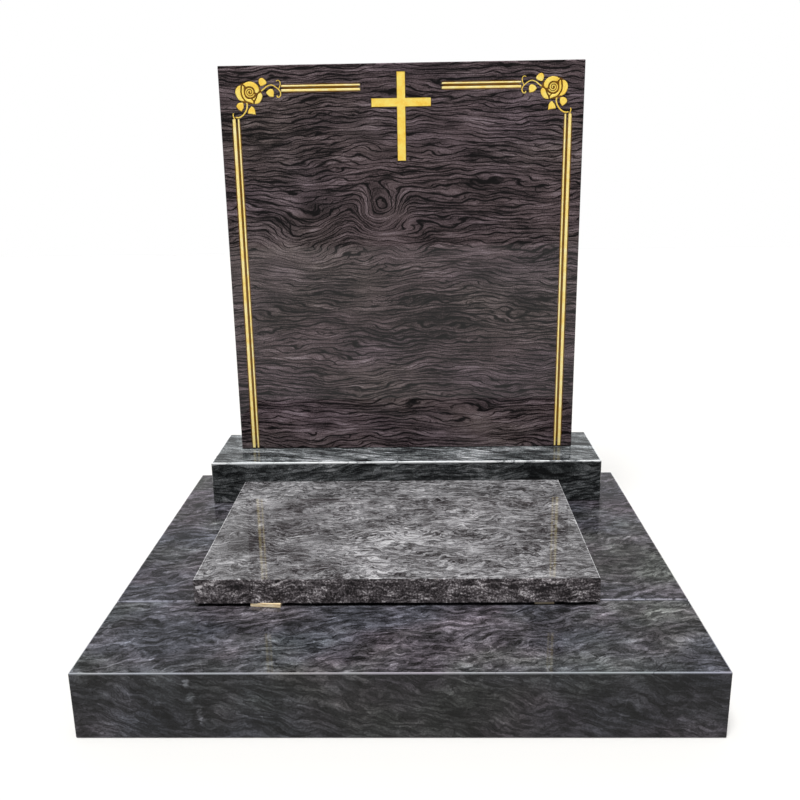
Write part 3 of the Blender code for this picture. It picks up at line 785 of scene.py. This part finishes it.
def pillow_in(shape, outline):
    """A gilded petal or leaf in its pocket: flat at the bottom, rounded up from its edge to a crown."""
    outline = [Vector(point) for point in outline]
    low_x, high_x = min(p.x for p in outline), max(p.x for p in outline)
    low_z, high_z = min(p.y for p in outline), max(p.y for p in outline)
    row_pitch = PETAL_PITCH * PETAL_ROW_SHARE
    fill = []
    for row in range(int((high_z - low_z) / row_pitch) + 1):
        for column in range(int((high_x - low_x) / PETAL_PITCH) + 2):
            point = Vector((low_x + (column - 0.5 * (row % 2)) * PETAL_PITCH, low_z + row * row_pitch))
            if inside(point, outline) and nearest_edge(point, outline) > PETAL_CLEAR_SHARE * PETAL_PITCH:
                fill.append(point)
    count = len(outline)
    edges = [(i, (i + 1) % count) for i in range(count)]
    points, _, faces, *_ = delaunay_2d_cdt(outline + fill, edges, [], 1, MERGE_REACH)
    verts = []
    for point in points:
        share = min(1.0, nearest_edge(point, outline) / PETAL_ROUND_OVER)
        rise = PETAL_CROWN * math.sqrt(1 - (1 - share) ** 2)
        verts.append(shape.verts.new(on_face(point.x, point.y, PETAL_DEPTH - PETAL_LIFT - rise)))
    made = [shape.faces.new([verts[i] for i in face]) for face in faces]
    rim = {edge for face in made for edge in face.edges if edge.is_boundary}
    bmesh.ops.edgeloop_fill(shape, edges=list(rim))


def smooth_route(points):
    """Points along a smooth line through the given ones."""
    ends = [points[0], *points, points[-1]]
    route = []
    for before, start, end, after in zip(ends, ends[1:], ends[2:], ends[3:]):
        for step in range(STEPS_PER_SPAN):
            t = step / STEPS_PER_SPAN
            point = []
            for a, b, c, d in zip(before, start, end, after):
                bend = (2 * a - 5 * b + 4 * c - d) * t**2
                twist = (3 * b - a - 3 * c + d) * t**3
                point.append((2 * b + (c - a) * t + bend + twist) / 2)
            route.append(tuple(point))
    route.append(points[-1])
    return route


def heart_spiral():
    """The spiral stroke at the rose's heart, in shares of its radius."""
    count = round(HEART_TURNS * SPIRAL_STEPS_PER_TURN)
    route = []
    for step in range(count + 1):
        share = step / count
        angle = HEART_START + share * HEART_TURNS * 2 * math.pi
        radius = HEART_INNER_SHARE + (HEART_OUTER_SHARE - HEART_INNER_SHARE) * share**HEART_TIGHTENING
        route.append((radius * math.cos(angle), radius * math.sin(angle)))
    return route


def add_stroke(shape, route, width):
    """A gilded stroke laid in its groove along the route: nearly flush and crowned, with blunt ends."""
    rings = []
    last = len(route) - 1
    half = width / 2 - STROKE_MARGIN
    for i, (x, z) in enumerate(route):
        before, after = route[max(i - 1, 0)], route[min(i + 1, last)]
        along = Vector((after[0] - before[0], 0, after[1] - before[1])).normalized()
        across = Vector((along.z, 0, -along.x))
        ring = []
        for k in range(STROKE_SIDES + 1):
            angle = math.pi * k / STROKE_SIDES
            crown = math.sin(angle) ** STROKE_FULLNESS
            depth = STROKE_SINK + (1 - crown) * half * STROKE_HEIGHT_SHARE
            ring.append(shape.verts.new(on_face(x, z, depth) + across * half * math.cos(angle)))
        rings.append(ring)
    for a, b in zip(rings, rings[1:]):
        for k in range(STROKE_SIDES):
            shape.faces.new((a[k], a[k + 1], b[k + 1], b[k]))
        shape.faces.new((a[STROKE_SIDES], a[0], b[0], b[STROKE_SIDES]))
    for ring in (rings[0], rings[-1]):
        shape.faces.new(ring)


def make_rose_spray(side, gilding):
    """One corner's rose with its leaves and stems; the other side's is its mirror image."""
    heart_x = MIDDLE + side * (HALF - ROSE_SIDE_INSET)
    heart_z = TOP - ROSE_TOP_INSET

    def placed(points):
        return [(heart_x - side * a * ROSE_RADIUS, heart_z + b * ROSE_RADIUS, *sharp)
                for a, b, *sharp in points]

    shape = bmesh.new()
    for outline in (*PETALS.values(), *LEAVES.values()):
        pillow_in(shape, smooth_outline(placed(outline)))
    for points, width in STEMS.values():
        add_stroke(shape, placed(smooth_route(points)), width * ROSE_RADIUS)
    add_stroke(shape, placed(heart_spiral()), HEART_STROKE_SHARE * ROSE_RADIUS)
    where = "left" if side < 0 else "right"
    object_from(shape, f"gilded_rose_{where}", gilding)


def cut_strip(shape, within, place, normal):
    """Cuts the faces whose middle lies in front of a depth along one plane."""
    near = [face for face in shape.faces if face.calc_center_median().y < within]
    edges = {edge for face in near for edge in face.edges}
    verts = {vert for face in near for vert in face.verts}
    bmesh.ops.bisect_plane(shape, geom=[*near, *edges, *verts], plane_co=place, plane_no=normal)


def make_tablet(polished, sawn):
    """The tablet: polished all round but for its front edge, which is left sawn, with a chipped top arris
    and an uneven foot."""
    size = TABLET_HIGH - TABLET_LOW
    front, foot, top = TABLET_LOW.y, TABLET_LOW.z, TABLET_HIGH.z
    shape = bmesh.new()
    bmesh.ops.create_cube(shape, size=1.0)
    bmesh.ops.scale(shape, verts=shape.verts, vec=size)
    bmesh.ops.translate(shape, verts=shape.verts, vec=(TABLET_HIGH + TABLET_LOW) / 2)
    arris = [edge for edge in shape.edges if all(abs(v.co.z - top) < ON_PLANE for v in edge.verts)
             and not all(v.co.y < front + ON_PLANE for v in edge.verts)]
    bmesh.ops.bevel(shape, geom=arris, offset=TABLET_ARRIS, affect="EDGES", segments=ARRIS_STEPS, profile=0.5,
                    material=-1)
    bmesh.ops.bisect_plane(shape, geom=[*shape.verts, *shape.edges, *shape.faces],
                           plane_co=(0, front + FRONT_STRIP, 0), plane_no=(0, 1, 0))
    for step in range(1, round(size.x / FRONT_CELL)):
        cut_strip(shape, front + FRONT_STRIP, (TABLET_LOW.x + step * FRONT_CELL, 0, 0), (1, 0, 0))
    for step in range(1, round(size.z / FRONT_CELL)):
        cut_strip(shape, front + ON_PLANE, (0, 0, foot + step * FRONT_CELL), (0, 0, 1))
    for vert in shape.verts:
        if vert.co.y > front + ON_PLANE:
            continue
        x, z = vert.co.x, vert.co.z
        rough = noise.fractal(Vector((x, 0, z)) * per_metre(SAWN_PATCH_MM), *SAWN_FRACTAL) * 0.5 + 0.5
        vert.co.y += SAWN_DEPTH * min(1.0, max(0.0, rough))
        if z > top - ON_PLANE:
            chip_place = Vector((x, CHIP_SEED, 0)) * per_metre(CHIP_LENGTH_MM)
            chip = max(0.0, noise.fractal(chip_place, *CHIP_FRACTAL))
            vert.co.y += CHIP_DEPTH * chip
            vert.co.z -= CHIP_DROP_SHARE * CHIP_DEPTH * chip
        if z < foot + ON_PLANE:
            foot_place = Vector((x, FOOT_SEED, 0)) * per_metre(FOOT_WAVE_MM)
            vert.co.z += FOOT_WAVE * noise.noise(foot_place) - FOOT_DROP
    for face in shape.faces:
        if face.calc_center_median().y < front + SAWN_FACE_REACH and abs(face.normal.z) < LEVEL:
            face.material_index = 1
    piece = object_from(shape, "sawn_edged_tablet", polished)
    piece.data.materials.append(sawn)
    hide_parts("tablet")


def set_studio():
    """A plain pale floor, a soft white studio, and the camera where the photograph was taken from."""
    scene = bpy.context.scene
    floor_mesh = bpy.data.meshes.new("studio_floor")
    shape = bmesh.new()
    bmesh.ops.create_grid(shape, x_segments=1, y_segments=1, size=FLOOR_SIZE)
    shape.to_mesh(floor_mesh)
    shape.free()
    floor = bpy.data.objects.new("studio_floor", floor_mesh)
    scene.collection.objects.link(floor)
    # Uncoated white paper: matt, with next to no gloss
    paper, tree, shader = new_material("matt_white_paper")
    shader.inputs["Base Color"].default_value = linear(FLOOR_COLOUR)
    shader.inputs["Roughness"].default_value = 0.9
    shader.inputs["Specular IOR Level"].default_value = 0.2
    floor_mesh.materials.append(paper)

    # White behind the stones, dimmer behind the camera, so that the polish shows dark stone
    sky = bpy.data.worlds.new("white_studio")
    sky.use_nodes = True
    tree = sky.node_tree
    way = add(tree, "ShaderNodeTexCoord").outputs["Generated"]
    split = add(tree, "ShaderNodeSeparateXYZ", None, {0: way}).outputs
    around, upward = (
        add(tree, "ShaderNodeMapRange", {"interpolation_type": "SMOOTHSTEP"},
            {"Value": way, "From Min": start, "From Max": end, "To Min": first, "To Max": last})
        for way, ((start, end), (first, last)) in ((split["Y"], SKY_ROUND), (split["Z"], SKY_UP)))
    strength = add(tree, "ShaderNodeMath", {"operation": "MULTIPLY"}, {0: around, 1: upward})
    background = tree.nodes["Background"]
    tree.links.new(strength.outputs["Value"], background.inputs["Strength"])
    background.inputs["Color"].default_value = linear("#FFFFFF")
    scene.world = sky
    for name, (rise, turn, spread, power) in SUNS.items():
        light = bpy.data.lights.new(name, "SUN")
        light.angle = math.radians(spread)
        light.energy = power
        lamp = bpy.data.objects.new(name, light)
        scene.collection.objects.link(lamp)
        rise, turn = math.radians(rise), math.radians(turn)
        towards = Vector((math.sin(turn) * math.cos(rise), -math.cos(turn) * math.cos(rise), math.sin(rise)))
        lamp.location = towards * SUN_DISTANCE
        lamp.rotation_euler = (-towards).to_track_quat("-Z", "Y").to_euler()

    camera = bpy.data.cameras.new("camera")
    camera.sensor_width = SENSOR
    camera.lens = LENS
    camera.clip_end = FAR_CLIP
    holder = bpy.data.objects.new("camera", camera)
    scene.collection.objects.link(holder)
    aim = (Matrix.Rotation(CAMERA_YAW, 4, "Z") @ Matrix.Rotation(CAMERA_PITCH, 4, "X")
           @ Matrix.Rotation(CAMERA_ROLL, 4, "Y") @ Matrix.Rotation(math.radians(90), 4, "X"))
    holder.matrix_world = Matrix.Translation(CAMERA_PLACE) @ aim
    scene.camera = holder
    scene.view_settings.view_transform = "Standard"


def main():
    stones = {
        "headstone": figured_granite("polished_headstone_granite", painted=painted_gilt_shade_places(),
                                     **HEADSTONE_GRANITE),
        "base_front_slab": figured_granite("polished_front_slab_granite", **FRONT_SLAB_GRANITE),
        "base_rear_slab": figured_granite("polished_rear_slab_granite", **REAR_SLAB_GRANITE),
        "plinth": figured_granite("polished_plinth_granite", **PLINTH_GRANITE),
    }
    slip_wood = spruce_material()
    for name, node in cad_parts.items():
        if name.startswith("packing_slip"):
            stones[name] = slip_wood
        if name in stones:
            node.data.materials[0] = stones[name]
    make_tablet(figured_granite("polished_tablet_granite", **TABLET_GRANITE),
                figured_granite("sawn_tablet_granite", **SAWN_GRANITE))
    gold = gilding_material("gold_paint_on_blasted_granite", GOLD_STOPS, GOLD_SLOPE_SHADE)
    make_cross(gold)
    pale_gold = gilding_material("pale_gold_paint_on_blasted_granite", PALE_GOLD_STOPS, PALE_GOLD_SLOPE_SHADE)
    make_frame_lines(pale_gold)
    for side in (-1, 1):
        make_rose_spray(side, gold)
    set_studio()


main()
